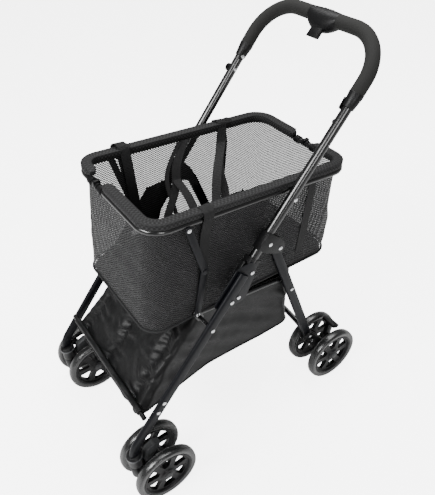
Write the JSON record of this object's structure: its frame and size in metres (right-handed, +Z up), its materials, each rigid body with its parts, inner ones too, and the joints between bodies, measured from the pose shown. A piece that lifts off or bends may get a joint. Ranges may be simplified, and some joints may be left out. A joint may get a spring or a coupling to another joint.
{
  "type": "pet stroller",
  "caption": "Folding pet stroller: leaning carrier of open mesh on a tubular frame with a U handle, storage bag, twin swivelling front wheels and braked rear wheels.",
  "frame": {"origin": "on the ground, at the centre of the bounding box seen from above", "axes": "+Z up, +Y to the rear where the handle is, +X to the pusher's left; X = 0 is the plane of symmetry but for one stud"},
  "size_m": [0.51, 0.7459, 0.9586],
  "materials": {
    "satin_paint": "satin blue-black powder coat",
    "gloss_paint": "gloss black enamel",
    "black_plastic": "fine matte texture",
    "grey_plastic": "matte",
    "steel": "bright zinc plated",
    "grip_foam": "matte closed-cell foam",
    "tyre": "semi-gloss, ridged",
    "mesh_fabric": "open polyester mesh with bound edges",
    "nylon": "black coated nylon, slight sheen"
  },
  "bodies": {
    "front_frame": {"front_leg_left": "satin_paint", "front_leg_right": "satin_paint", "fold_bracket_left": "satin_paint", "fold_bracket_right": "satin_paint", "caster_socket_left": "black_plastic", "caster_socket_right": "black_plastic", "front_crossbar": "satin_paint", "storage_basket": "nylon"},
    "handle_frame": {"handle_bar": "gloss_paint", "handle_pod": "black_plastic", "handle_grip_left": "grip_foam", "handle_grip_right": "grip_foam", "grip_collar_left": "black_plastic", "grip_collar_right": "black_plastic", "tube_socket_left": "black_plastic", "tube_socket_right": "black_plastic", "leg_mount_left": "black_plastic", "leg_mount_right": "black_plastic"},
    "rear_frame": {"rear_crossbar": "gloss_paint", "rear_leg_left": "satin_paint", "rear_leg_right": "satin_paint", "rear_bracket_left": "black_plastic", "rear_bracket_right": "black_plastic", "rear_axle_left": "steel", "rear_axle_right": "steel"},
    "rim_frame": {"rim_tube": "gloss_paint", "carrier_bag": "mesh_fabric", "floor_pad": "nylon"},
    "base_frame": {"base_bar": "gloss_paint"},
    "strut_lower": {"strut_lower_left": "satin_paint", "strut_lower_right": "satin_paint"},
    "strut_upper": {"strut_upper_left": "satin_paint", "strut_upper_right": "satin_paint"},
    "release_paddle": {"release_paddle": "black_plastic"},
    "fold_lock_left": {"fold_lock_left": "black_plastic"},
    "caster_left": {"caster_fork_left": "black_plastic", "front_axle_left": "steel"},
    "caster_lock_left": {"caster_lock_left": "grey_plastic"},
    "brake_pedal_left": {"brake_pedal_left": "black_plastic"},
    "front_left_outer_wheel": {"front_left_outer_tyre": "tyre", "front_left_outer_hub": "black_plastic"},
    "front_left_inner_wheel": {"front_left_inner_tyre": "tyre", "front_left_inner_hub": "black_plastic"},
    "rear_left_outer_wheel": {"rear_left_outer_tyre": "tyre", "rear_left_outer_hub": "black_plastic"},
    "rear_left_inner_wheel": {"rear_left_inner_tyre": "tyre", "rear_left_inner_hub": "black_plastic"},
    "fold_lock_right": {"fold_lock_right": "black_plastic"},
    "caster_right": {"caster_fork_right": "black_plastic", "front_axle_right": "steel"},
    "caster_lock_right": {"caster_lock_right": "grey_plastic"},
    "brake_pedal_right": {"brake_pedal_right": "black_plastic"},
    "front_right_outer_wheel": {"front_right_outer_tyre": "tyre", "front_right_outer_hub": "black_plastic"},
    "front_right_inner_wheel": {"front_right_inner_tyre": "tyre", "front_right_inner_hub": "black_plastic"},
    "rear_right_outer_wheel": {"rear_right_outer_tyre": "tyre", "rear_right_outer_hub": "black_plastic"},
    "rear_right_inner_wheel": {"rear_right_inner_tyre": "tyre", "rear_right_inner_hub": "black_plastic"}
  },
  "joints": [
    {"name": "handle_fold", "type": "hinge", "parent": "front_frame", "child": "handle_frame", "pos_m": [0, -0.034, 0.479], "axis": [-1, 0, 0], "range_deg": [0, 120], "deforming": ["storage_basket"]},
    {"name": "rear_fold", "type": "hinge", "parent": "handle_frame", "child": "rear_frame", "pos_m": [0, 0.081, 0.561], "axis": [-1, 0, 0], "range_deg": [-70, 0]},
    {"name": "rim_fold", "type": "hinge", "parent": "handle_frame", "child": "rim_frame", "pos_m": [0, 0.121, 0.669], "axis": [-1, 0, 0], "range_deg": [-40, 0], "deforming": ["carrier_bag", "floor_pad"]},
    {"name": "base_fold", "type": "hinge", "parent": "front_frame", "child": "base_frame", "pos_m": [0, -0.116, 0.44], "axis": [-1, 0, 0], "range_deg": [0, 78]},
    {"name": "strut_lower_fold", "type": "hinge", "parent": "base_frame", "child": "strut_lower", "pos_m": [0, -0.123, 0.457], "axis": [-1, 0, 0], "range_deg": [0, 36.6]},
    {"name": "strut_upper_fold", "type": "hinge", "parent": "rim_frame", "child": "strut_upper", "pos_m": [0, -0.125, 0.693], "axis": [-1, 0, 0], "range_deg": [-47.8, 0]},
    {"name": "paddle_squeeze", "type": "hinge", "parent": "handle_frame", "child": "release_paddle", "pos_m": [0, 0.3399, 0.9257], "axis": [-1, 0, 0], "range_deg": [0, 15], "stiffness_Nm_per_rad": 0.3},
    {"name": "lock_slide_left", "type": "slide", "parent": "handle_frame", "child": "fold_lock_left", "axis": [0, 0.6622, 0.7494], "range_m": [0, 0.006]},
    {"name": "caster_swivel_left", "type": "hinge", "parent": "front_frame", "child": "caster_left", "pos_m": [0.199, -0.348, 0.1], "axis": [0, 0, 1], "continuous": true},
    {"name": "caster_lock_tilt_left", "type": "hinge", "parent": "caster_left", "child": "caster_lock_left", "pos_m": [0.199, -0.318, 0.116], "axis": [-1, 0, 0], "range_deg": [0, 25]},
    {"name": "brake_press_left", "type": "hinge", "parent": "rear_frame", "child": "brake_pedal_left", "pos_m": [0.169, 0.291, 0.106], "axis": [-1, 0, 0], "range_deg": [0, 22]},
    {"name": "front_left_outer_spin", "type": "hinge", "parent": "caster_left", "child": "front_left_outer_wheel", "pos_m": [0.241, -0.293, 0.08], "axis": [1, 0, 0], "continuous": true},
    {"name": "rear_left_outer_spin", "type": "hinge", "parent": "rear_frame", "child": "rear_left_outer_wheel", "pos_m": [0.211, 0.27, 0.08], "axis": [1, 0, 0], "continuous": true},
    {"name": "front_left_inner_spin", "type": "hinge", "parent": "caster_left", "child": "front_left_inner_wheel", "pos_m": [0.157, -0.293, 0.08], "axis": [1, 0, 0], "continuous": true},
    {"name": "rear_left_inner_spin", "type": "hinge", "parent": "rear_frame", "child": "rear_left_inner_wheel", "pos_m": [0.127, 0.27, 0.08], "axis": [1, 0, 0], "continuous": true},
    {"name": "lock_slide_right", "type": "slide", "parent": "handle_frame", "child": "fold_lock_right", "axis": [0, 0.6622, 0.7494], "range_m": [0, 0.006]},
    {"name": "caster_swivel_right", "type": "hinge", "parent": "front_frame", "child": "caster_right", "pos_m": [-0.199, -0.348, 0.1], "axis": [0, 0, 1], "continuous": true},
    {"name": "caster_lock_tilt_right", "type": "hinge", "parent": "caster_right", "child": "caster_lock_right", "pos_m": [-0.199, -0.318, 0.116], "axis": [-1, 0, 0], "range_deg": [0, 25]},
    {"name": "brake_press_right", "type": "hinge", "parent": "rear_frame", "child": "brake_pedal_right", "pos_m": [-0.169, 0.291, 0.106], "axis": [-1, 0, 0], "range_deg": [0, 22]},
    {"name": "front_right_outer_spin", "type": "hinge", "parent": "caster_right", "child": "front_right_outer_wheel", "pos_m": [-0.241, -0.293, 0.08], "axis": [1, 0, 0], "continuous": true},
    {"name": "rear_right_outer_spin", "type": "hinge", "parent": "rear_frame", "child": "rear_right_outer_wheel", "pos_m": [-0.211, 0.27, 0.08], "axis": [1, 0, 0], "continuous": true},
    {"name": "front_right_inner_spin", "type": "hinge", "parent": "caster_right", "child": "front_right_inner_wheel", "pos_m": [-0.157, -0.293, 0.08], "axis": [1, 0, 0], "continuous": true},
    {"name": "rear_right_inner_spin", "type": "hinge", "parent": "rear_frame", "child": "rear_right_inner_wheel", "pos_m": [-0.127, 0.27, 0.08], "axis": [1, 0, 0], "continuous": true}
  ],
  "couplings": [
    {"joint": "rear_fold", "follows": "handle_fold", "ratio": -0.5833},
    {"joint": "rim_fold", "follows": "handle_fold", "ratio": -0.3333},
    {"joint": "base_fold", "follows": "handle_fold", "ratio": 0.65},
    {"joint": "strut_lower_fold", "follows": "handle_fold", "ratio": 0.3042},
    {"joint": "strut_upper_fold", "follows": "handle_fold", "ratio": -0.3975},
    {"joint": "lock_slide_left", "follows": "paddle_squeeze", "m_per_rad": 0.0229},
    {"joint": "lock_slide_right", "follows": "paddle_squeeze", "m_per_rad": 0.0229}
  ]
}
